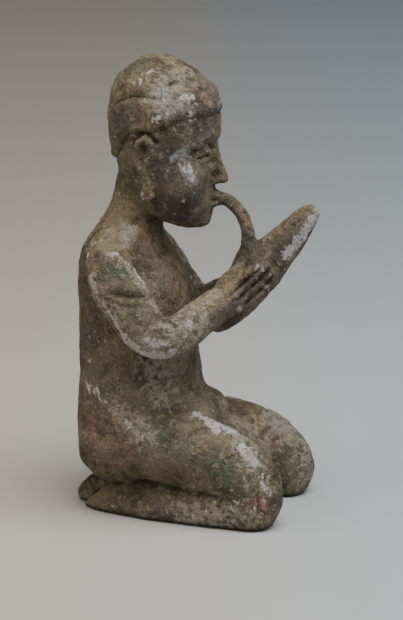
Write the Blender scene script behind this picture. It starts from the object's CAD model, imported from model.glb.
"""The looks of the stucco kneeling figure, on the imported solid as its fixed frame.

The solid's own mesh is copied, smoothed and carved further: lids, ears, finger gaps, the cap's
edge, cloth folds, cracks, chips and pits. The paint that is left on it, such as the pale slip
on the knee, is laid down as vertex colours, and one procedural material breaks it up.
"""

import math

import bmesh
import bpy
import numpy as np
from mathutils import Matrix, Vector, noise


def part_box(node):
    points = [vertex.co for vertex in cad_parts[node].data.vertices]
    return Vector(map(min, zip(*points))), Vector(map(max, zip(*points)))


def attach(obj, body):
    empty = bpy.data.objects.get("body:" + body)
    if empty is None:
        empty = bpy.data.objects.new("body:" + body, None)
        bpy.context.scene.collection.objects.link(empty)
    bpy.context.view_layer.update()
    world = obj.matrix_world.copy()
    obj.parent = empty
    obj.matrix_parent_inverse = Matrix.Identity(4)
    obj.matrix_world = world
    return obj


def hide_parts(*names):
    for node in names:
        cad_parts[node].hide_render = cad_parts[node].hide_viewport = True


NODE = "kneeling_figure"

# The finish mesh: the width of its faces in metres, and how often they are smoothed.
VOXEL = 0.00148
SMOOTHING_ROUNDS = 3
SEED = 17

# Boxes in which the faces are half as wide, for the face, an ear and a hand, and the same ones
# mirrored: low and high corners as side, front and up in 300ths of the height.
FINE = (
    ((-1, 36, 207), (27, 62, 256)),
    ((29, 2, 209), (40, 21, 256)),
    ((12, 64, 140), (26, 93, 172)),
)

# The axis that is left out where a line is drawn in the side view or in the front view.
SIDE_VIEW, FRONT_VIEW = 0, 1

# Where the figure's own axis stands: the leaf's tip is this far in front of it, in 300ths of the
# height.
LEAF_TIP = 118.9

# The camera, set at the photograph's viewing angle.
CAMERA_AZIMUTH = math.radians(-76.5)
CAMERA_ELEVATION = math.radians(13.5)
CAMERA_DISTANCE = 1.5
CAMERA_TARGET = Vector((0.0383, 0.0065, 0.1231))
LENS = 129.6
SENSOR = 36.0

# The mouth organ's butt and the way that it points, as front and up, and the fingers on it: how
# far along it their gaps and their backs reach, and how far down across it these lie at the
# knuckles and at the tips.
ORGAN_BUTT = (45.0, 119.0)
ORGAN_PITCH = math.radians(50.2)
FINGER_GAPS = ((60, -3.5, -1.0), (63, 2.0, 4.5), (59, 7.5, 9.5))
FINGER_BACKS = ((59, -6.2, -3.2), (63, -0.8, 1.8), (61.5, 4.8, 7.0), (56, 10.0, 11.6))


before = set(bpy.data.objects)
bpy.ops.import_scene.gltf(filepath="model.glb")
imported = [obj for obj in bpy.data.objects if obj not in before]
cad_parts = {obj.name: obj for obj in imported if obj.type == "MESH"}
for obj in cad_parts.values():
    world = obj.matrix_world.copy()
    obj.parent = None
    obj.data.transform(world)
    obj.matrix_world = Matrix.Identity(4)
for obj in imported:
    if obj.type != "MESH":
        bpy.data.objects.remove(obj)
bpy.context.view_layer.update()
LOW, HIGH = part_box(NODE)
MEASURE = (HIGH.z - LOW.z) / 300
AXIS_Y = LOW.y + LEAF_TIP * MEASURE


def at(side, front, up):
    """A place on the figure: to its left, the way it faces, and up, in 300ths of its height."""
    return Vector((side * MEASURE, AXIS_Y - front * MEASURE, up * MEASURE))


def on_organ(side, along, across):
    """A place by the leaf: how far along it from the butt, and down across it from its axis."""
    cos, sin = math.cos(ORGAN_PITCH), math.sin(ORGAN_PITCH)
    front = ORGAN_BUTT[0] + along * cos + across * sin
    up = ORGAN_BUTT[1] + along * sin - across * cos
    return at(side, front, up)


# The skin


def apply_modifiers(obj):
    """Replaces an object's mesh with what its modifiers make of it."""
    bpy.context.view_layer.update()
    evaluated = obj.evaluated_get(bpy.context.evaluated_depsgraph_get())
    settled = bpy.data.meshes.new_from_object(evaluated)
    obj.modifiers.clear()
    obj.data = settled


def is_fine(side, front, up):
    """Whether a place, or each of many, lies in one of the fine boxes."""
    found = False
    for low, high in FINE:
        inside = (low[0] < abs(side)) & (abs(side) < high[0]) & (low[1] < front) & (front < high[1])
        found = found | (inside & (low[2] < up) & (up < high[2]))
    return found


def refine(data):
    """Splits the faces in the fine boxes, two by two."""
    mesh = bmesh.new()
    mesh.from_mesh(data)
    for face in mesh.faces:
        middle = face.calc_center_median()
        face.tag = is_fine(middle.x / MEASURE, (AXIS_Y - middle.y) / MEASURE, middle.z / MEASURE)
    edges = [edge for edge in mesh.edges if any(face.tag for face in edge.link_faces)]
    bmesh.ops.subdivide_edges(mesh, edges=edges, cuts=1, use_grid_fill=True)
    mesh.to_mesh(data)
    mesh.free()


def fine_copy():
    """The solid's mesh again, with its facets rounded off and in even faces a voxel wide."""
    mesh = bmesh.new()
    mesh.from_mesh(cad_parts[NODE].data)
    bmesh.ops.remove_doubles(mesh, verts=mesh.verts, dist=1e-6)
    data = bpy.data.meshes.new("musician")
    mesh.to_mesh(data)
    mesh.free()
    obj = bpy.data.objects.new("musician", data)
    bpy.context.scene.collection.objects.link(obj)
    rounder = obj.modifiers.new("rounder", "SUBSURF")
    rounder.levels = rounder.render_levels = 2
    even = obj.modifiers.new("even", "REMESH")
    even.mode = "VOXEL"
    even.voxel_size = VOXEL
    apply_modifiers(obj)
    refine(obj.data)
    soften = obj.modifiers.new("soften", "SMOOTH")
    soften.factor = 0.5
    soften.iterations = SMOOTHING_ROUNDS
    apply_modifiers(obj)
    return obj


class Skin:
    """The vertices of a mesh, moved along their normals as a modelling tool would press them."""

    def __init__(self, obj):
        self.mesh = obj.data
        self.count = len(self.mesh.vertices)
        self.places = self.read("co")
        self.normals = self.read("normal")
        edges = np.empty(len(self.mesh.edges) * 2, np.int32)
        self.mesh.edges.foreach_get("vertices", edges)
        self.edges = edges.reshape(-1, 2)
        self.shift = np.zeros(self.count)

    def read(self, what):
        """The places or the normals of all vertices, one row each."""
        values = np.empty(self.count * 3, np.float32)
        self.mesh.vertices.foreach_get(what, values)
        return values.reshape(-1, 3).astype(np.float64)

    def measures(self):
        """Side, front and up of every vertex, in 300ths of the height."""
        x, y, z = self.places.T
        return x / MEASURE, (AXIS_Y - y) / MEASURE, z / MEASURE

    def distance(self, points, view=None):
        """How far each vertex lies from a line through points, in space or in a flat view."""
        seen = np.ones(3)
        if view is not None:
            seen[view] = 0
        nearest = np.full(self.count, np.inf)
        for start, end in zip(points, points[1:]):
            away, run = (self.places - np.array(start)) * seen, np.array(end - start) * seen
            share = np.clip(away @ run / (run @ run), 0, 1)
            nearest = np.minimum(nearest, np.linalg.norm(away - share[:, None] * run, axis=1))
        return nearest

    def groove(self, points, width, depth, view=None):
        """A round-bottomed line of the given width and depth. A negative depth raises a ridge."""
        share = self.distance(points, view) / width
        self.shift -= depth * np.exp(-((2 * share) ** 2))

    def press(self, centre, radius, depth):
        """A round dimple of the given radius and depth."""
        share = np.linalg.norm(self.places - np.array(centre), axis=1) / radius
        self.shift -= depth * np.exp(-(share**2))

    def settle(self):
        """Moves the vertices, and keeps the underside flat."""
        self.places += self.normals * self.shift[:, None]
        self.places[:, 2] = np.maximum(self.places[:, 2], 0.0)
        self.shift[:] = 0
        self.mesh.vertices.foreach_set("co", self.places.astype(np.float32).ravel())
        self.mesh.update()
        self.normals = self.read("normal")

    def averaged(self, values, rounds):
        """Values spread to neighbouring vertices, so many rounds."""
        one, other = self.edges.T
        degree = np.bincount(one, minlength=self.count) + np.bincount(other, minlength=self.count)
        for _ in range(rounds):
            total = np.bincount(one, values[other], self.count)
            total += np.bincount(other, values[one], self.count)
            values = total / np.maximum(degree, 1)
        return values

    def hollowness(self, rounds):
        """How deep each vertex sits below the mean of its surroundings, in metres."""
        mean = np.stack([self.averaged(axis, rounds) for axis in self.places.T], axis=1)
        return ((mean - self.places) * self.normals).sum(axis=1)


def smoothstep(value, low, high):
    """A smooth step from 0 at low to 1 at high."""
    share = np.clip((value - low) / (high - low), 0, 1)
    return share * share * (3 - 2 * share)


def fractal(places, scale, octaves, seed):
    """Layered noise, about -1 to 1, at each place, with its largest lumps one scale wide."""
    offset = Vector((seed * 7.3, seed * 3.1, seed * 5.7))
    values = [
        noise.fractal(Vector(place) / scale + offset, 0.9, 2.0, octaves) for place in places
    ]
    return np.array(values)


# Carving


# The lumps that hands leave: their height and width in metres, and their layers of noise.
LUMPS = ((0.00055, 0.030, 2), (0.00042, 0.010, 3))
# The tool dabs, and the depth of the rot, the width of its pits and that of the rotten patches.
DAB_HEIGHT, DAB_WIDTH = 0.00032, 0.0046
ROT_DEPTH, ROT_WIDTH, ROTTEN_WIDTH = 0.00095, 0.0056, 0.040
# How much of all this is kept off the face.
CALM_OF_FACE = 0.7


def model_by_hand(skin):
    """The uneven surface that hands and time leave: broad lumps, tool dabs, and rot."""
    _, front, up = skin.measures()
    on_face = smoothstep(front, 24, 34) * smoothstep(up, 192, 200) * (1 - smoothstep(up, 256, 264))
    calm = 1 - CALM_OF_FACE * on_face
    for seed, (height, width, octaves) in enumerate(LUMPS, start=1):
        skin.shift += height * calm * fractal(skin.places, width, octaves, seed)
    dabs = np.clip(fractal(skin.places, DAB_WIDTH, 2, seed=3), -0.8, 0.8)
    skin.shift += DAB_HEIGHT * calm * dabs
    rotten = smoothstep(fractal(skin.places, ROTTEN_WIDTH, 2, seed=4), -0.15, 0.45)
    pits = np.clip(fractal(skin.places, ROT_WIDTH, 3, seed=6) - 0.12, 0, 0.8)
    skin.shift -= ROT_DEPTH * calm * rotten * pits


def hairline(front):
    """Height of the cap's lower edge: level over the brow, then down behind the ear."""
    over_brow, over_ear, nape = 264.5, 254.0, 233.0
    falling = (over_brow - over_ear) * (1 - smoothstep(front, 12, 42))
    return over_brow - falling - (over_ear - nape) * (1 - smoothstep(front, -16, 4))


def carve_cap(skin):
    """An undercut below the cap's edge, the lap of the crown over the band, and a crack."""
    _, front, up = skin.measures()
    above_edge = up - hairline(front)
    undercut = np.exp(-(((above_edge + 1.4) / 1.3) ** 2))
    rim = np.exp(-(((above_edge - 1.6) / 1.8) ** 2))
    skin.shift += np.where(up > 228, 0.0004 * rim - 0.0008 * undercut, 0)
    for way in (-1, 1):
        lap_over = [
            at(21 * way, -12, 269),
            at(29 * way, 0, 275.5),
            at(33 * way, 12, 276.5),
            at(33.5 * way, 22, 274.5),
            at(30.5 * way, 23, 283),
            at(24 * way, 31, 285.7),
        ]
        skin.groove(lap_over, 3.0 * MEASURE, 0.0013)
    crack = [at(-27, 27, 285), at(-24, 31, 285.7), at(-21.5, 37, 283), at(-19, 42, 281.5)]
    skin.groove(crack, 2.4 * MEASURE, 0.0022)


# Lines around an eye, as seen from the front: width, depth, and places as side and up.
EYE_LINES = (
    (2.4, -0.0013, (6, 236), (9.5, 239.4), (15, 240.0), (21.5, 236.4)),
    (2.2, -0.0010, (6, 236), (11, 233.2), (17, 233.2), (21.5, 236.4)),
    (1.9, 0.0019, (7, 236.2), (13, 236.6), (20.5, 236.4)),
    (3.0, 0.0015, (5, 241), (11, 244.4), (17, 244.2), (23, 240.5)),
    (4.2, -0.0009, (4, 248), (12, 251), (23, 248)),
)


def carve_face(skin):
    """Lids around lowered eyes, the creases above them, nostrils, the lips and the philtrum."""
    _, front, _ = skin.measures()
    ahead = smoothstep(front, 34, 40)
    for way in (-1, 1):
        for width, depth, *places in EYE_LINES:
            line = [at(side * way, 0, up) for side, up in places]
            skin.groove(line, width * MEASURE, depth * ahead, view=FRONT_VIEW)
        skin.press(at(3.4 * way, 55.5, 214.2), 1.8 * MEASURE, 0.0016)
        wing = [at(6.8 * way, 53, 222), at(7.6 * way, 51.5, 217.5)]
        skin.groove(wing, 2.6 * MEASURE, 0.0013)
    skin.groove([at(-8, 50, 207), at(0, 54, 207.2), at(8, 50, 207)], 2.4 * MEASURE, 0.0014)
    skin.groove([at(0, 54, 214), at(0, 54.5, 211.5)], 2.6 * MEASURE, 0.0004)


def carve_ears(skin):
    """The rim, the trough around it, the hollow inside it, the lobe, and the ring in the lobe."""
    side, _, _ = skin.measures()
    for way in (-1, 1):
        outside = smoothstep(way * side, 26, 31)
        rim = [at(0, 17, 246), at(0, 13, 250.5), at(0, 8, 247), at(0, 6.5, 238), at(0, 9, 228)]
        trough = [at(0, 20, 248), at(0, 13, 255), at(0, 4.5, 249), at(0, 2.5, 238), at(0, 6, 227)]
        skin.groove(rim, 3.4 * MEASURE, -0.0014 * outside, view=SIDE_VIEW)
        skin.groove(trough, 3.2 * MEASURE, 0.0012 * outside, view=SIDE_VIEW)
        shell = [at(36.5 * way, 13, 245), at(36 * way, 11.5, 238), at(35 * way, 13, 231)]
        skin.groove(shell, 4.6 * MEASURE, 0.0008)
        lobe = [at(34 * way, 11.5, 226), at(33 * way, 12.5, 219)]
        skin.groove(lobe, 2.4 * MEASURE, 0.0005)
        ring = [at(0, 11, 217), at(0, 9.6, 213), at(0, 11.4, 209.6), at(0, 15, 209.6), at(0, 16.5, 213)]
        skin.groove(ring, 2.2 * MEASURE, -0.0014 * outside, view=SIDE_VIEW)
        skin.press(at(33 * way, 13, 213), 1.8 * MEASURE, 0.0016)


def carve_hands(skin):
    """The fingers' gaps, backs, joints and knuckles, the thumb's edge, and the wrist's crease."""
    side, _, _ = skin.measures()
    for way in (-1, 1):
        outside = smoothstep(way * side, 10, 14)
        for lines, width, depth in ((FINGER_GAPS, 2.6, 0.0012), (FINGER_BACKS, 3.0, -0.0006)):
            for reach, root, tip in lines:
                places = ((37, root), (50, (root + tip) / 2), (reach, tip))
                line = [on_organ(0, *place) for place in places]
                skin.groove(line, width * MEASURE, depth * outside, view=SIDE_VIEW)
        joints = [on_organ(21 * way, 48, -4), on_organ(20 * way, 51, 4), on_organ(18 * way, 47, 11)]
        skin.groove(joints, 2.0 * MEASURE, 0.0004)
        knuckles = [on_organ(23 * way, 36, -7), on_organ(22 * way, 38, 2), on_organ(20 * way, 35, 10)]
        skin.groove(knuckles, 5.0 * MEASURE, -0.0006)
        thumb = [on_organ(16 * way, 36, -9.5), on_organ(13 * way, 52, -7.5)]
        skin.groove(thumb, 2.2 * MEASURE, 0.0010)
        wrist = [at(22 * way, 57, 158), at(33 * way, 57, 150), at(36 * way, 60, 138)]
        skin.groove(wrist, 4.0 * MEASURE, 0.0006)


def carve_leaf(skin):
    """A ledge along each face of the leaf near its outer edge, and the pipe's socket."""
    for way in (-1, 1):
        ledge = [
            on_organ(10 * way, 20, 13),
            on_organ(10 * way, 45, 13.5),
            on_organ(9 * way, 70, 12),
            on_organ(7 * way, 92, 8),
            on_organ(4 * way, 108, 4),
        ]
        skin.groove(ledge, 2.4 * MEASURE, 0.0010)
    socket = [at(-5, 68.5, 170), at(-3.6, 74, 172.5), at(3.6, 74, 172.5), at(5, 68.5, 170)]
    skin.groove(socket, 2.4 * MEASURE, 0.0006)


def carve_sleeves(skin):
    """Two creases across each sleeve, the ridge down its front, and the near shoulder's crack."""
    fold, dip = 5.0 * MEASURE, 3.2 * MEASURE
    for way in (-1, 1):
        upper = [at(62 * way, -2, 155.5), at(60.5 * way, 9, 153.3), at(55 * way, 18, 154)]
        lower = [at(63 * way, 2, 148.2), at(62 * way, 13, 146.8), at(57.5 * way, 20, 147.4)]
        skin.groove(upper, fold, 0.0016)
        skin.groove(lower, fold, 0.0014)
        above = [at(61 * way, -3, 160), at(59 * way, 9, 158), at(54 * way, 18, 158.5)]
        between = [at(63 * way, 0, 151.5), at(62 * way, 10, 150), at(56.5 * way, 19, 150.8)]
        below = [at(63 * way, 4, 144), at(61 * way, 15, 142.5), at(56 * way, 22, 143)]
        for swell in (above, between, below):
            skin.groove(swell, fold, -0.0007)
        ridge = [
            at(52 * way, -5, 178.5),
            at(50.5 * way, 6.5, 172),
            at(50.5 * way, 15, 161.5),
            at(50.4 * way, 21.5, 150.5),
            at(51 * way, 27, 141),
        ]
        skin.groove(ridge, fold, -0.0011)
        inner = [
            at(47 * way, -1, 180),
            at(46 * way, 9, 171),
            at(46 * way, 17, 160),
            at(45.5 * way, 24, 148),
        ]
        skin.groove(inner, dip, 0.0010)
    crack = [
        at(-31, -20.5, 184),
        at(-33, -24.5, 179),
        at(-38, -24.5, 173.5),
        at(-47, -19.5, 172.8),
        at(-53.5, -14.7, 173),
    ]
    skin.groove(crack, 2.2 * MEASURE, 0.0014)


def carve_legs(skin):
    """The creases above the shins, the splits at the knees, the hips, and the gap between the feet."""
    for way in (-1, 1):
        crease = [
            at(30 * way, -12, 20.5),
            at(38 * way, 0, 21.5),
            at(43 * way, 18, 22),
            at(47 * way, 41, 22.3),
            at(50 * way, 62, 22),
        ]
        skin.groove(crease, 3.2 * MEASURE, 0.0014)
        split = [
            at(50 * way, 89, 39),
            at(52.8 * way, 91, 26),
            at(53.4 * way, 91, 19),
            at(53.3 * way, 90, 11),
            at(51.5 * way, 90, 2),
        ]
        skin.groove(split, 2.2 * MEASURE, 0.0013)
        hip = [at(45 * way, -20, 60), at(50 * way, 2, 52), at(54 * way, 30, 50)]
        skin.groove(hip, 14 * MEASURE, 0.0006)
    between_feet = [at(-12, -16, 17), at(-15, -26, 9), at(-19, -33, 1)]
    skin.groove(between_feet, 3.0 * MEASURE, 0.0014)


def carve_base(skin):
    """A slight undercut where the figure meets the floor."""
    depth, height = 0.0016, 1.8
    _, _, up = skin.measures()
    upright = 1 - np.abs(skin.normals[:, 2])
    skin.shift -= depth * upright * np.exp(-((up / height) ** 2))


def carve_lap(skin):
    """Short slanting tool strokes in the lap cloth, and its edge along each thigh."""
    for row in range(5):
        for column in range(6):
            side = -16 + 9 * row + 1.5 * (column % 2)
            front = 48 + 6.5 * column + 1.2 * (row % 3)
            top = 72 - 0.5 * (front - 44) - 0.011 * (front - 44) ** 2
            stroke = [at(side, front, top), at(side + 3.5, front + 5.5, top - 4)]
            skin.groove(stroke, 2.2 * MEASURE, 0.0009)
    for way in (-1, 1):
        edge = [
            at(27 * way, 44, 70),
            at(30 * way, 62, 66.5),
            at(31 * way, 78, 57),
            at(29 * way, 92, 43),
        ]
        skin.groove(edge, 3.2 * MEASURE, 0.0006)


def carve_back(skin):
    """The hollow of the spine, the shoulder blades, the waist, and the neck's fold."""
    skin.groove([at(0, -38, 176), at(0, -42, 130), at(0, -42, 80)], 9 * MEASURE, 0.0009)
    for way in (-1, 1):
        blade = [at(16 * way, -37, 172), at(21 * way, -39, 158), at(17 * way, -41, 146)]
        skin.groove(blade, 13 * MEASURE, -0.0012)
        waist = [at(34 * way, -28, 96), at(14 * way, -41, 92)]
        skin.groove(waist, 8 * MEASURE, 0.0006)
    skin.groove([at(-14, -12, 224), at(0, -17, 222), at(14, -12, 224)], 4 * MEASURE, 0.0006)


# How many chips there are, their radii in metres, and their depths as shares of the radius.
CHIPS = 420
CHIP_RADII = (0.0009, 0.0026)
CHIP_DEPTHS = (0.12, 0.30)


def chip(skin):
    """Small chips and pits all over."""
    chance = np.random.default_rng(SEED)
    for index in chance.integers(0, skin.count, CHIPS):
        radius = chance.uniform(*CHIP_RADII)
        skin.press(skin.places[index], radius, radius * chance.uniform(*CHIP_DEPTHS))


CARVINGS = (
    model_by_hand,
    carve_cap,
    carve_face,
    carve_ears,
    carve_hands,
    carve_leaf,
    carve_sleeves,
    carve_legs,
    carve_base,
    carve_lap,
    carve_back,
    chip,
)


# What is left of the paint

# Each patch is a radius and the line that it is brushed along, in 300ths of the height.
SLIP = (
    # The cap's crown and band, and the ear's rim.
    (1.6, (-30, 24, 283), (-31, 23, 279)),
    (2.6, (-28, 35, 275), (-24, 40, 276)),
    (1.8, (-35, 18, 262), (-33, 27, 266)),
    (1.0, (-34, 16, 250), (-34, 12, 251.5), (-36, 8.5, 248)),
    # Under the near eye, down the cheek, and on the ring.
    (2.0, (-27, 39, 232), (-27, 41, 224)),
    (1.2, (-28, 36, 217), (-28, 35, 206)),
    (1.8, (-28, 34, 204), (-27, 34, 202)),
    (1.9, (-33.5, 9.6, 214), (-33, 11.4, 209.6), (-32, 15, 209)),
    # The near shoulder, the front of the sleeve, and the back edge of the arm.
    (1.7, (-52, -5, 178), (-48, 0, 180)),
    (1.4, (-50.5, 9, 169), (-50.5, 15, 161.5)),
    (1.8, (-32, -22, 182), (-38, -25, 173)),
    (2.0, (-54, -18, 163), (-57, -13, 155)),
    (1.8, (-59, -8, 148), (-61, -2, 139), (-61, 4, 129)),
    (5.0, (-61, 8, 124), (-60, 14, 117), (-58, 24, 115), (-56, 34, 117)),
    # The elbow, the forearm, the hand, and the tips of its fingers.
    (3.0, (-63, 20, 126), (-61, 30, 124)),
    (2.0, (-53, 43, 128), (-48, 46, 138)),
    (2.2, (-21, 71, 140), (-20, 73, 138)),
    (1.2, (-17, 80, 165), (-16, 82, 168)),
    (1.2, (-18, 84, 162), (-17, 86, 165)),
    (1.2, (-18, 88, 160), (-16, 90, 162)),
    (1.5, (-19, 84, 153), (-18, 86, 155)),
    (1.4, (-20, 68, 160), (-20, 71, 163)),
    # The leaf, by its tip.
    (3, (-2, 119, 204), (-4, 113, 194), (-5, 107, 184)),
    (3.5, (-5, 107, 184), (-7, 101, 177), (-7, 98, 173)),
    # The near thigh and knee.
    (4.8, (-30, 46, 69), (-34, 54, 69), (-40, 61, 66)),
    (4, (-35, 62, 67), (-37, 71, 63)),
    (4.5, (-44, 78, 54), (-45, 84, 50), (-46, 87, 47)),
    (1.8, (-50, 92, 33), (-49, 95, 28)),
    # Flecks at the small of the back and by the knee.
    (1.6, (-33, -28, 87), (-35, -26, 84)),
    (1.6, (-40, -19, 86), (-41, -18, 84)),
    (1.5, (-46, 1, 69), (-48, 5, 64)),
    (1.5, (-54, 76, 21), (-54, 82, 20)),
    (1.4, (-50, 38, 28), (-51, 43, 26)),
    (1.4, (-51, 52, 26), (-53, 60, 24)),
    # The far side and the back, in keeping.
    (8, (29, 32, 276), (33, 22, 266)),
    (5, (33, 16, 258), (30, 34, 262)),
    (6, (8, -20, 266), (16, -14, 256)),
    (4, (52, -20, 164), (58, -8, 150), (61, 4, 134)),
    (5.5, (61, 10, 122), (57, 30, 116)),
    (4, (20, -37, 156), (26, -34, 144)),
    (2.5, (-6, -41, 122), (-10, -41, 114)),
    (3, (28, -33, 90), (34, -26, 82)),
    (2.5, (10, -43, 64), (14, -42, 56)),
    (4, (36, 52, 66), (42, 66, 61)),
    (4.5, (46, 84, 48), (47, 92, 40)),
    (5, (6, 100, 182), (5, 112, 196)),
    (2.5, (20, 70, 142), (18, 78, 158)),
    (2.5, (49, 8, 62), (52, 18, 56)),
    (2.5, (50, 60, 10), (48, 84, 8)),
)
# Where slip is left as a thin wash.
WASH = (
    (4, (-30, 31, 239), (-27, 39, 245), (-22, 43, 247)),
    (4.5, (-29, 36, 238), (-29, 38, 230), (-27, 41, 224)),
    (9, (-31, 22, 282), (-33, 24, 270), (-27, 36, 270)),
    (4, (-4, 112, 194), (-7, 98, 172)),
    (7, (-58, 20, 118), (-50, 42, 132)),
    (6, (-26, 0, 190), (-44, 0, 183)),
    (7, (28, 84, 50), (36, 98, 34)),
    (7, (30, 31, 242), (27, 39, 243)),
    (7, (58, 20, 118), (50, 42, 132)),
    (8, (-6, -41, 120), (14, -42, 140)),
)
# Where small flecks of slip are left.
FLECKED = (
    (9, (-34, -26, 86), (-40, -18, 84), (-46, -2, 72), (-50, 18, 58)),
    (6, (-36, -24, 122), (-34, -28, 100)),
    (8, (-50, 60, 26), (-54, 80, 18), (-50, 92, 12)),
    (6, (-47, 34, 8), (-52, 66, 6)),
    (9, (-40, 66, 62), (-46, 88, 40), (-48, 96, 20)),
    (7, (-56, -16, 160), (-61, 0, 136)),
    (10, (-61, 14, 122), (-57, 34, 118)),
    (5, (-50, -2, 178), (-50, 14, 164)),
    (6, (-52, 42, 130), (-38, 52, 146)),
    (9, (-30, 26, 280), (-24, 40, 268)),
    (6, (-33, 0, 282), (-24, 14, 291)),
    (7, (-28, 36, 240), (-28, 38, 224)),
    (6, (-5, 112, 196), (-8, 98, 172)),
    (9, (34, -26, 84), (46, -2, 70), (52, 20, 56)),
    (9, (54, -16, 160), (61, 0, 136), (60, 24, 118)),
    (8, (50, 60, 24), (54, 82, 18)),
    (9, (10, -42, 70), (24, -36, 90)),
    (9, (-14, -38, 150), (6, -41, 124)),
    (8, (20, -16, 262), (32, 14, 262)),
    (7, (6, 104, 186), (5, 92, 168)),
)
# Rose paint.
PINK = (
    (3, (-17, 46, 276), (-15, 48, 271)),
    (2.2, (-45, 82, 51), (-46, 85, 48)),
    (2.4, (-4, 66, 201), (-4, 71, 192)),
    (2.6, (-33, 13.5, 216), (-32.5, 14, 212)),
    (2.6, (-52, 90, 24), (-51, 94, 18)),
    (2, (-25, 42, 227), (-24, 42, 223)),
    (3, (-55, 50, 24), (-56, 58, 26)),
    (4, (31, 28, 270), (33, 22, 264)),
    (5, (44, 94, 30), (46, 90, 18)),
    (3, (33, 13, 216), (32, 13, 211)),
)
# Stains: russet earth, purple, ochre earth and green.
RUSSET = (
    (8, (-53, 84, 26), (-50, 94, 14)),
    (13, (6, 60, 66), (24, 70, 62)),
    (14, (-24, 16, 184), (-10, 28, 160), (-14, 30, 140)),
    (14, (-34, -30, 96), (-40, -20, 66), (-46, -6, 50)),
    (9, (-48, 30, 44), (-52, 60, 34)),
    (9, (-20, 8, 188), (-6, 20, 170)),
    (10, (8, 66, 60), (22, 84, 44)),
    (12, (0, -42, 130), (16, -40, 92)),
    (12, (36, -24, 60), (48, 10, 52)),
    (8, (-36, 34, 210), (-28, 22, 222)),
)
PURPLE = (
    (10, (-27, 36, 268), (-12, 50, 268)),
    (13, (-31, 26, 234), (-26, 38, 212)),
    (9, (-12, 51, 262), (-22, 44, 255)),
    (12, (-32, 26, 236), (-30, 30, 220), (-20, 40, 204)),
    (12, (-8, 76, 178), (-8, 100, 192)),
    (8, (-22, 60, 152), (-18, 74, 152)),
    (7, (-24, 68, 147), (-31, 59, 141), (-38, 56, 136)),
    (8, (-42, 2, 100), (-38, 22, 92)),
    (14, (-34, -28, 150), (-32, -30, 110)),
    (11, (-26, 34, 206), (-20, 20, 202)),
    (9, (-8, 94, 182), (-10, 80, 166)),
    (9, (-44, 24, 8), (-52, 72, 8)),
    (10, (-26, -8, 262), (-26, -6, 250)),
    (10, (26, -8, 262), (28, -4, 250)),
    (13, (42, 2, 100), (38, 22, 92)),
    (14, (12, -40, 116), (26, -34, 92)),
    (9, (46, 20, 10), (50, 60, 10)),
)
OCHRE = (
    (8, (0, 4, 296), (-8, 26, 293)),
    (8, (-24, 6, 284), (-20, -6, 276)),
    (14, (-14, -22, 196), (-22, -4, 195)),
    (10, (-30, -18, 184), (-44, 0, 180)),
    (14, (16, -18, 194), (20, 0, 190)),
    (13, (-8, 14, 178), (6, 20, 168)),
    (10, (-36, 50, 148), (-18, 64, 158)),
    (5, (-5, 86, 186), (-3, 98, 198), (-3, 108, 205)),
    (8, (4, 56, 66), (18, 72, 52)),
    (5, (-28, 52, 69), (-34, 74, 60)),
    (13, (0, -40, 168), (-6, -41, 150)),
)
GREEN = (
    (6, (-60, 6, 158), (-60, 12, 146)),
    (10, (-22, -6, 232), (-26, 2, 212)),
    (12, (-8, 80, 176), (-6, 96, 190)),
    (9, (-12, 8, 293), (-27, -2, 280)),
    (5, (0, 57, 206), (0, 66, 201), (0, 71, 190)),
    (5, (-37, 72, 61), (-41, 76, 58)),
    (8, (-57, -4, 168), (-57, 8, 163)),
    (12, (-8, -15, 216), (-10, -16, 202)),
    (11, (-50, 20, 58), (-53, 44, 50)),
    (10, (-54, 60, 44), (-54, 82, 32)),
    (10, (-38, -20, 96), (-40, -12, 80)),
    (9, (34, 80, 56), (38, 98, 42)),
    (6, (-16, 58, 157), (-20, 52, 152)),
    (7, (-30, 10, 244), (-28, 20, 236)),
    (13, (50, 24, 54), (54, 58, 44)),
    (9, (56, 2, 166), (58, 10, 156)),
    (14, (-10, -42, 96), (-20, -40, 74)),
    (9, (10, -24, 188), (16, -28, 180)),
)
# Where the surface is rubbed pale.
PALE = (
    (14, (-60, 12, 122), (-58, 30, 120), (-48, 46, 136)),
    (8, (-54, -16, 160), (-61, 0, 138)),
    (6, (-40, 50, 146), (-30, 58, 152)),
    (9, (-42, 76, 56), (-48, 92, 30)),
    (14, (28, 84, 52), (36, 102, 32), (34, 100, 14)),
    (10, (-52, 84, 12), (-48, 40, 8)),
    (10, (0, 58, 66), (14, 80, 44)),
    (11, (-10, 34, 288), (-30, 20, 276)),
    (5, (-52, -5, 178), (-50.5, 15, 161), (-51, 27, 141)),
    (8, (-44, -8, 76), (-50, 16, 60)),
    (6, (-26, 0, 190), (-34, -20, 182)),
    (12, (-40, 20, 104), (-38, 26, 84)),
    (14, (60, 14, 122), (50, 46, 136)),
    (12, (50, 10, 60), (52, 60, 40)),
    (12, (16, -38, 160), (-12, -40, 150)),
    (10, (0, -22, 268), (14, -8, 282)),
    (10, (30, -34, 60), (0, -43, 50)),
)


def field(skin, patches):
    """How strongly patches cover each vertex: 1 along their lines, and half at their radius."""
    cover = np.zeros(skin.count)
    for radius, *line in patches:
        share = skin.distance([at(*place) for place in line]) / (radius * MEASURE)
        cover = np.maximum(cover, 1 - smoothstep(share, 0.3, 1.7))
    return cover


def store(mesh, name, channels):
    """Stores up to three values of each vertex as a vertex colour."""
    attribute = mesh.color_attributes.new(name, "FLOAT_COLOR", "POINT")
    values = np.ones((len(mesh.vertices), 4), np.float32)
    for index, channel in enumerate(channels):
        values[:, index] = channel
    attribute.data.foreach_set("color", values.ravel())


# How high slip and crust stand off the surface, and how much higher the crust does on the cap.
SLIP_HEIGHT, CRUST_HEIGHT, CAP_CRUST_HEIGHT = 0.00018, 0.00024, 0.00045
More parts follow.
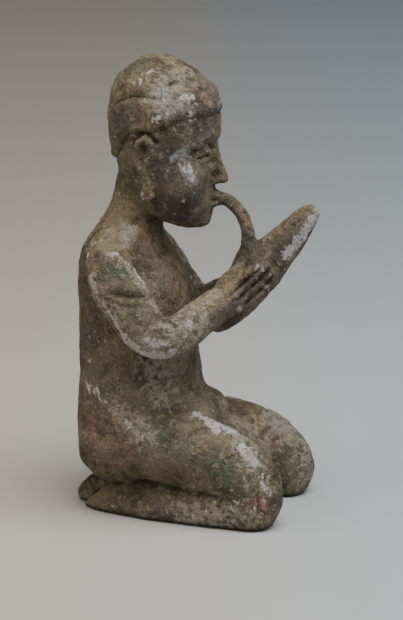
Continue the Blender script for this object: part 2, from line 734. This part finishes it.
# The depth that counts as fully hollow, the rounds of averaging that it is measured over in the
# plain mesh and in the finer boxes, and how far up the floor's grime reaches.
HOLLOW_DEPTH = 0.0009
HOLLOW_ROUNDS, FINE_HOLLOW_ROUNDS = 7, 20
FLOOR_GRIME = (1.0, 4.5)


def lay_paint(skin):
    """Stores the patches, the crust and the hollows, and lifts slip and crust off the surface."""
    side, front, up = skin.measures()
    slip = field(skin, SLIP)
    on_cap = smoothstep(up - hairline(front), 0, 4)
    crust = smoothstep(fractal(skin.places, 0.016, 5, seed=7), 0.06, 0.16)
    flakes = fractal(skin.places, 0.005, 4, seed=5)
    torn_slip = smoothstep(slip + 0.6 * flakes, 0.42, 0.62)
    skin.shift += SLIP_HEIGHT * torn_slip + (CRUST_HEIGHT + CAP_CRUST_HEIGHT * on_cap) * crust
    plain, fine = skin.hollowness(HOLLOW_ROUNDS), skin.hollowness(FINE_HOLLOW_ROUNDS)
    hollow = np.clip(np.where(is_fine(side, front, up), fine, plain) / HOLLOW_DEPTH, -1, 1)
    hollow = np.maximum(hollow, 1 - smoothstep(up, *FLOOR_GRIME))
    store(skin.mesh, "paint", (slip, field(skin, PINK), field(skin, PURPLE)))
    store(skin.mesh, "stains", (field(skin, OCHRE), field(skin, GREEN), field(skin, RUSSET)))
    store(skin.mesh, "wear", (field(skin, PALE), crust, 0.5 + 0.5 * hollow))
    store(skin.mesh, "remains", (field(skin, FLECKED), field(skin, WASH), on_cap))


# The material


class Nodes:
    """Adds shader nodes by their values, and links them."""

    def __init__(self, material):
        material.use_nodes = True
        self.tree = material.node_tree
        self.shader = self.tree.nodes["Principled BSDF"]
        self.place = self.add("ShaderNodeTexCoord").outputs["Object"]

    def add(self, kind, **settings):
        node = self.tree.nodes.new(kind)
        for name, value in settings.items():
            setattr(node, name, value)
        return node

    def put(self, socket, value):
        """Links a socket to another's output, or sets it to a plain value."""
        if isinstance(value, bpy.types.NodeSocket):
            self.tree.links.new(value, socket)
        else:
            socket.default_value = value

    def math(self, operation, one, other=0.0):
        node = self.add("ShaderNodeMath", operation=operation)
        self.put(node.inputs[0], one)
        self.put(node.inputs[1], other)
        return node.outputs[0]

    def noise(self, scale, detail=6.0, roughness=0.6, distortion=0.0):
        """Cloudy noise around 0.5, with lumps of 1 / scale metres."""
        node = self.add("ShaderNodeTexNoise")
        self.put(node.inputs["Vector"], self.place)
        for name, value in (
            ("Scale", scale),
            ("Detail", detail),
            ("Roughness", roughness),
            ("Distortion", distortion),
        ):
            node.inputs[name].default_value = value
        return node.outputs["Fac"]

    def cells(self, scale, feature="F1"):
        """The distance to the nearest cell centre or, with DISTANCE_TO_EDGE, to the cell's edge."""
        node = self.add("ShaderNodeTexVoronoi", feature=feature)
        self.put(node.inputs["Vector"], self.place)
        node.inputs["Scale"].default_value = scale
        return node.outputs["Distance"]

    def ramp(self, value, low, high, start=0.0, end=1.0):
        """A smooth step of a value from start at low to end at high."""
        node = self.add("ShaderNodeMapRange", interpolation_type="SMOOTHSTEP")
        for name, setting in (
            ("Value", value),
            ("From Min", low),
            ("From Max", high),
            ("To Min", start),
            ("To Max", end),
        ):
            self.put(node.inputs[name], setting)
        return node.outputs["Result"]

    def mix(self, share, one, other, blend="MIX"):
        """Two colours mixed by a share."""
        node = self.add("ShaderNodeMix", data_type="RGBA", blend_type=blend)
        self.put(node.inputs[0], share)
        for socket, colour in ((node.inputs[6], one), (node.inputs[7], other)):
            self.put(socket, colour if isinstance(colour, bpy.types.NodeSocket) else (*colour, 1))
        return node.outputs[2]

    def attribute(self, name):
        """The three channels of a stored vertex colour."""
        stored = self.add("ShaderNodeAttribute", attribute_name=name)
        parts = self.add("ShaderNodeSeparateColor")
        self.put(parts.inputs[0], stored.outputs["Color"])
        return parts.outputs[0], parts.outputs[1], parts.outputs[2]

    def torn(self, cover, breakup, amount, low, high, strength=1.0):
        """A cover torn by noise into a patch: ragged if high is close to low, soft if it isn't."""
        tears = self.math("MULTIPLY", self.math("SUBTRACT", breakup, 0.5), amount)
        return self.ramp(self.math("ADD", cover, tears), low, high, 0.0, strength)

    def relief(self, layers, strength, distance):
        """Heights and their shares, added up into a bump on the shader."""
        total = 0.0
        for height, share in layers:
            total = self.math("ADD", self.math("MULTIPLY", height, share), total)
        bump = self.add("ShaderNodeBump")
        bump.inputs["Strength"].default_value = strength
        bump.inputs["Distance"].default_value = distance
        self.put(bump.inputs["Height"], total)
        self.put(self.shader.inputs["Normal"], bump.outputs["Normal"])


# Linear colours of the stucco and of what lies on it.
UMBER = (0.062, 0.047, 0.031)
STUCCO = (0.170, 0.134, 0.090)
OLIVE = (0.118, 0.106, 0.064)
EARTH_OCHRE = (0.255, 0.180, 0.098)
MOSS = (0.088, 0.090, 0.056)
RUST = (0.150, 0.092, 0.062)
PLUM = (0.074, 0.058, 0.054)
LILAC_SLIP = (0.430, 0.400, 0.392)
GREY_SLIP = (0.290, 0.262, 0.245)
ROSE = (0.330, 0.165, 0.135)
DIRT = (0.024, 0.019, 0.013)
DARK_EARTH = (0.044, 0.034, 0.024)
WORN = (0.265, 0.228, 0.175)


def ground(nodes, clouds, patches, blotches):
    """Mottled stucco, with the stains that have soaked into it and its crust."""
    _, _, purple = nodes.attribute("paint")
    ochre, green, russet = nodes.attribute("stains")
    _, crust, _ = nodes.attribute("wear")
    stains = (
        (RUST, russet, 0.65),
        (MOSS, green, 0.75),
        (PLUM, purple, 0.80),
        (EARTH_OCHRE, ochre, 0.50),
    )
    colour = nodes.mix(nodes.ramp(clouds, 0.36, 0.64), UMBER, STUCCO)
    colour = nodes.mix(nodes.ramp(patches, 0.50, 0.64, 0, 0.6), colour, OLIVE)
    for stain, cover, strength in stains:
        colour = nodes.mix(nodes.torn(cover, blotches, 2.8, 0.20, 0.95, strength), colour, stain)
    colour = nodes.mix(nodes.ramp(blotches, 0.47, 0.36, 0, 0.50), colour, DARK_EARTH)
    colour = nodes.mix(nodes.ramp(blotches, 0.56, 0.70, 0, 0.35), colour, WORN)
    return nodes.mix(nodes.math("MULTIPLY", crust, 0.35), colour, STUCCO)


def painted(nodes, colour, blotches, tears, flecks):
    """The colour below its pale rubbing, slip and rose paint, and where the slip is thick."""
    slip, pink, _ = nodes.attribute("paint")
    pale, _, _ = nodes.attribute("wear")
    flecked, wash, _ = nodes.attribute("remains")
    chips = nodes.noise(230, detail=4, roughness=0.6, distortion=0.6)

    rubbing = nodes.math("MULTIPLY", pale, 0.19)
    veil = nodes.ramp(nodes.math("ADD", tears, rubbing), 0.57, 0.76, 0, 0.80)
    colour = nodes.mix(veil, colour, WORN)

    coarse, small = nodes.math("MULTIPLY", tears, 0.7), nodes.math("MULTIPLY", flecks, 0.3)
    breakup = nodes.math("ADD", coarse, small)
    thin = nodes.math("MAXIMUM", nodes.math("MULTIPLY", slip, 1.2), wash)
    colour = nodes.mix(nodes.torn(thin, blotches, 2.6, 0.35, 1.35, 0.65), colour, GREY_SLIP)
    thick = nodes.torn(slip, breakup, 4.4, 0.48, 0.90, 0.80)
    colour = nodes.mix(thick, colour, LILAC_SLIP)

    left = nodes.math("ADD", chips, nodes.math("MULTIPLY", flecked, 0.16))
    colour = nodes.mix(nodes.ramp(left, 0.745, 0.80, 0, 0.80), colour, LILAC_SLIP)
    rose = nodes.torn(pink, breakup, 4.0, 0.25, 1.05, 0.45)
    return nodes.mix(rose, colour, ROSE), thick


def soiled(nodes, colour, tears, flecks, grain):
    """The colour with grime in its hollows, rubbed edges, and grain over all."""
    _, _, hollow = nodes.attribute("wear")
    colour = nodes.mix(nodes.ramp(hollow, 0.56, 0.98, 0, 0.74), colour, DIRT)
    edges = nodes.ramp(hollow, 0.42, 0.10, 0, 0.70)
    rubbed = nodes.math("MULTIPLY", edges, nodes.ramp(tears, 0.40, 0.60))
    colour = nodes.mix(rubbed, colour, WORN)
    for speckle, low, high in ((flecks, 0.80, 1.22), (grain, 0.84, 1.16)):
        shade = nodes.add("ShaderNodeCombineColor")
        for socket in shade.inputs[:3]:
            nodes.put(socket, nodes.ramp(speckle, 0.32, 0.68, low, high))
        colour = nodes.mix(1.0, colour, shade.outputs[0], blend="MULTIPLY")
    return colour


def stucco():
    """Weathered stucco: a mottled ground, dusted and stained, with ragged remains of slip."""
    material = bpy.data.materials.new("weathered_stucco")
    nodes = Nodes(material)
    clouds = nodes.noise(42, detail=5, roughness=0.60, distortion=0.3)
    patches = nodes.noise(95, detail=5, roughness=0.60, distortion=0.3)
    blotches = nodes.noise(170, detail=4, roughness=0.55, distortion=0.2)
    tears = nodes.noise(240, detail=5, roughness=0.60, distortion=0.2)
    flecks = nodes.noise(600, detail=3, roughness=0.55)
    grain = nodes.noise(1300, detail=3, roughness=0.6)

    colour = ground(nodes, clouds, patches, blotches)
    colour, thick = painted(nodes, colour, blotches, tears, flecks)
    colour = soiled(nodes, colour, tears, flecks, grain)
    nodes.put(nodes.shader.inputs["Base Color"], colour)
    nodes.put(nodes.shader.inputs["Roughness"], nodes.ramp(grain, 0.3, 0.7, 0.80, 0.97))
    nodes.shader.inputs["Specular IOR Level"].default_value = 0.25

    _, _, on_cap = nodes.attribute("remains")
    flaking = nodes.math("MULTIPLY", nodes.ramp(patches, 0.49, 0.53), on_cap)
    pits = nodes.ramp(nodes.cells(300), 0.10, 0.30, -1.0, 0.0)
    crackle = nodes.ramp(nodes.cells(170, "DISTANCE_TO_EDGE"), 0.0, 0.035, -1.0, 0.0)
    layers = (
        (blotches, 1.4),
        (tears, 1.5),
        (flecks, 0.8),
        (grain, 0.4),
        (pits, 0.35),
        (crackle, 0.16),
        (flaking, 0.35),
        (thick, 0.16),
    )
    nodes.relief(layers, strength=1.0, distance=0.0013)
    return material


# Floor, light and camera


def camera_axes():
    """The camera's right, up and back directions."""
    flat = math.cos(CAMERA_ELEVATION)
    back = Vector(
        (
            math.sin(CAMERA_AZIMUTH) * flat,
            -math.cos(CAMERA_AZIMUTH) * flat,
            math.sin(CAMERA_ELEVATION),
        )
    )
    right = Vector((math.cos(CAMERA_AZIMUTH), math.sin(CAMERA_AZIMUTH), 0))
    return right, back.cross(right), back


def add_camera():
    """The camera, at the photograph's angle."""
    _, _, back = camera_axes()
    data = bpy.data.cameras.new("camera")
    data.sensor_fit = "VERTICAL"
    data.sensor_height = SENSOR
    data.lens = LENS
    camera = bpy.data.objects.new("camera", data)
    camera.location = CAMERA_TARGET + back * CAMERA_DISTANCE
    camera.rotation_euler = back.to_track_quat("Z", "Y").to_euler()
    bpy.context.scene.collection.objects.link(camera)
    bpy.context.scene.camera = camera


# The soft lights: where each stands in metres, to the right of the figure in the picture, above
# the floor and towards the camera, then its power in watts, its width and its colour. The key
# light is over the figure, the warm one behind its back, and the cool one before its face.
LIGHTS = (
    ("key", (0.3, 1.65, 0.5), 40, 1.5, (1.0, 0.985, 0.96)),
    ("warm", (-1.5, 0.9, 0.6), 12, 1.3, (1.0, 0.90, 0.78)),
    ("cool", (1.5, 1.1, 0.3), 11, 1.4, (0.88, 0.95, 1.0)),
)
SKY_COLOUR = (0.75, 0.76, 0.78, 1)
SKY_STRENGTH = 0.25


def add_light(name, place, energy, size, colour):
    """A round area light that faces the figure's middle."""
    data = bpy.data.lights.new(name, "AREA")
    data.shape = "DISK"
    data.size = size
    data.energy = energy
    data.color = colour
    light = bpy.data.objects.new(name, data)
    light.location = place
    light.rotation_euler = (place - at(0, 20, 120)).to_track_quat("Z", "Y").to_euler()
    bpy.context.scene.collection.objects.link(light)


def add_lights():
    """The studio's soft lights, and an even pale sky."""
    right, _, back = camera_axes()
    near = Vector((back.x, back.y, 0)).normalized()
    for name, (across, above, towards), energy, size, colour in LIGHTS:
        place = at(0, 20, 0) + right * across + Vector((0, 0, above)) + near * towards
        add_light(name, place, energy, size, colour)
    world = bpy.data.worlds.new("studio")
    world.use_nodes = True
    sky = world.node_tree.nodes["Background"]
    sky.inputs["Color"].default_value = SKY_COLOUR
    sky.inputs["Strength"].default_value = SKY_STRENGTH
    bpy.context.scene.world = world


# The paper's linear colours by the figure and far from it, the distances between which it
# changes, how it is tinted behind the figure's back and before its face, how far to either side
# the tint is full, and the sheet's radius.
PAPER_NEAR = (0.41, 0.41, 0.41)
PAPER_FAR = (0.66, 0.66, 0.66)
PAPER_FADE = (0.5, 3.0)
PAPER_TINTS = ((1.08, 0.96, 0.80), (0.91, 1.015, 1.10))
PAPER_TINT_REACH = 0.25
PAPER_RADIUS = 14.0
# Where the paper fades into the pale surroundings, and its colour there.
PAPER_MELT = (3.5, 9.0)
PAPER_EDGE = (0.95, 0.95, 0.95)


def paper(right):
    """Pale paper, a little warmer to the left of the view and cooler to its right."""
    material = bpy.data.materials.new("paper")
    nodes = Nodes(material)
    distance = nodes.add("ShaderNodeVectorMath", operation="LENGTH")
    nodes.put(distance.inputs[0], nodes.place)
    colour = nodes.mix(nodes.ramp(distance.outputs["Value"], *PAPER_FADE), PAPER_NEAR, PAPER_FAR)
    across = nodes.add("ShaderNodeVectorMath", operation="DOT_PRODUCT")
    nodes.put(across.inputs[0], nodes.place)
    across.inputs[1].default_value = right
    share = nodes.ramp(across.outputs["Value"], -PAPER_TINT_REACH, PAPER_TINT_REACH)
    tint = nodes.mix(share, *PAPER_TINTS)
    colour = nodes.mix(1.0, colour, tint, blend="MULTIPLY")
    colour = nodes.mix(nodes.ramp(distance.outputs["Value"], *PAPER_MELT), colour, PAPER_EDGE)
    nodes.put(nodes.shader.inputs["Base Color"], colour)
    nodes.shader.inputs["Roughness"].default_value = 0.95
    return material


def add_floor():
    """A wide round sheet of pale paper, which the figure stands on."""
    right, _, _ = camera_axes()
    mesh = bmesh.new()
    bmesh.ops.create_circle(mesh, cap_ends=True, radius=PAPER_RADIUS, segments=96)
    data = bpy.data.meshes.new("floor")
    mesh.to_mesh(data)
    mesh.free()
    data.materials.append(paper(right))
    floor = bpy.data.objects.new("floor", data)
    bpy.context.scene.collection.objects.link(floor)


def main():
    """Carves and paints the musician, and sets it on its floor before the camera."""
    musician = fine_copy()
    skin = Skin(musician)
    for carve in CARVINGS:
        carve(skin)
    skin.settle()
    lay_paint(skin)
    skin.settle()
    musician.data.materials.clear()
    musician.data.materials.append(stucco())
    musician.data.shade_smooth()
    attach(musician, "root")
    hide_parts(NODE)
    add_floor()
    add_lights()
    add_camera()


main()
